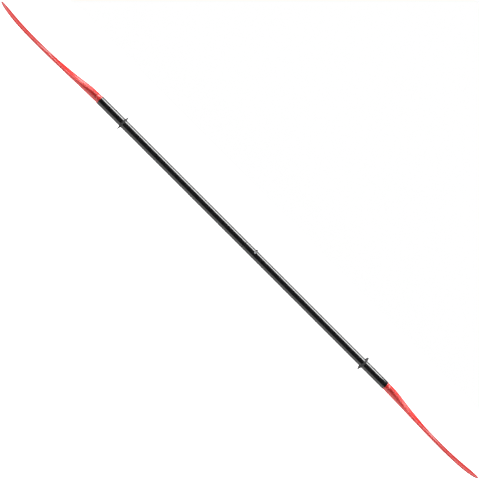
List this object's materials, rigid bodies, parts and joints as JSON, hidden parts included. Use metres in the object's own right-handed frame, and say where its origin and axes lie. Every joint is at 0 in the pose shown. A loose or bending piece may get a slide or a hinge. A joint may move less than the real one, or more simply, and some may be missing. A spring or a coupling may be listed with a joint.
{
  "type": "kayak paddle",
  "caption": "Take-apart double-bladed paddle: red spoon-shaped blades on a glossy black shaft with a snap-button ferrule and rubber drip rings.",
  "frame": {"origin": "on the shaft's axis, in the joint between the two halves, at the middle of the paddle's length", "axes": "+X along the shaft to the half with the button holes, +Z out of the power faces of both blades at the 0 degree feather setting, +Y to the blades' long edges"},
  "size_m": [2.1998, 0.1666, 0.052],
  "materials": {
    "shaft_black": "gloss",
    "blade_red": "gloss",
    "ferrule_grey": "satin",
    "seal_rubber": "satin",
    "ring_rubber": "satin",
    "button_grey": "satin",
    "spring_steel": "satin",
    "rivet_aluminium": "satin",
    "rivet_steel": "satin",
    "plug_foam": "matte"
  },
  "bodies": {
    "left_half": {"shaft_left": "shaft_black", "ferrule_sleeve": "ferrule_grey", "spring_clip": "spring_steel", "blade_left": "blade_red", "rivet_left": "rivet_aluminium", "rivet_pin_left": "rivet_steel", "foam_plug_left": "plug_foam"},
    "seal": {"joint_seal": "seal_rubber"},
    "right_half": {"shaft_right": "shaft_black", "blade_right": "blade_red", "rivet_right": "rivet_aluminium", "rivet_pin_right": "rivet_steel", "foam_plug_right": "plug_foam"},
    "button": {"snap_button": "button_grey"},
    "left_ring": {"drip_ring_left": "ring_rubber"},
    "right_ring": {"drip_ring_right": "ring_rubber"}
  },
  "joints": [
    {"name": "feather", "type": "hinge", "parent": "left_half", "child": "seal", "pos_m": [0, 0, 0], "axis": [1, 0, 0], "range_deg": [-60, 60], "deforming": ["snap_button"]},
    {"name": "pull_apart", "type": "slide", "parent": "seal", "child": "right_half", "axis": [1, 0, 0], "range_m": [0, 0.25], "deforming": ["snap_button"]},
    {"name": "button_press", "type": "slide", "parent": "left_half", "child": "button", "axis": [0, 0, -1], "range_m": [0, 0.007], "stiffness_N_per_m": 1500, "springref_m": -0.003, "deforming": ["spring_clip"]},
    {"name": "left_ring_slide", "type": "slide", "parent": "left_half", "child": "left_ring", "axis": [1, 0, 0], "range_m": [-0.03, 0.2]},
    {"name": "right_ring_slide", "type": "slide", "parent": "right_half", "child": "right_ring", "axis": [-1, 0, 0], "range_m": [-0.03, 0.2]}
  ]
}
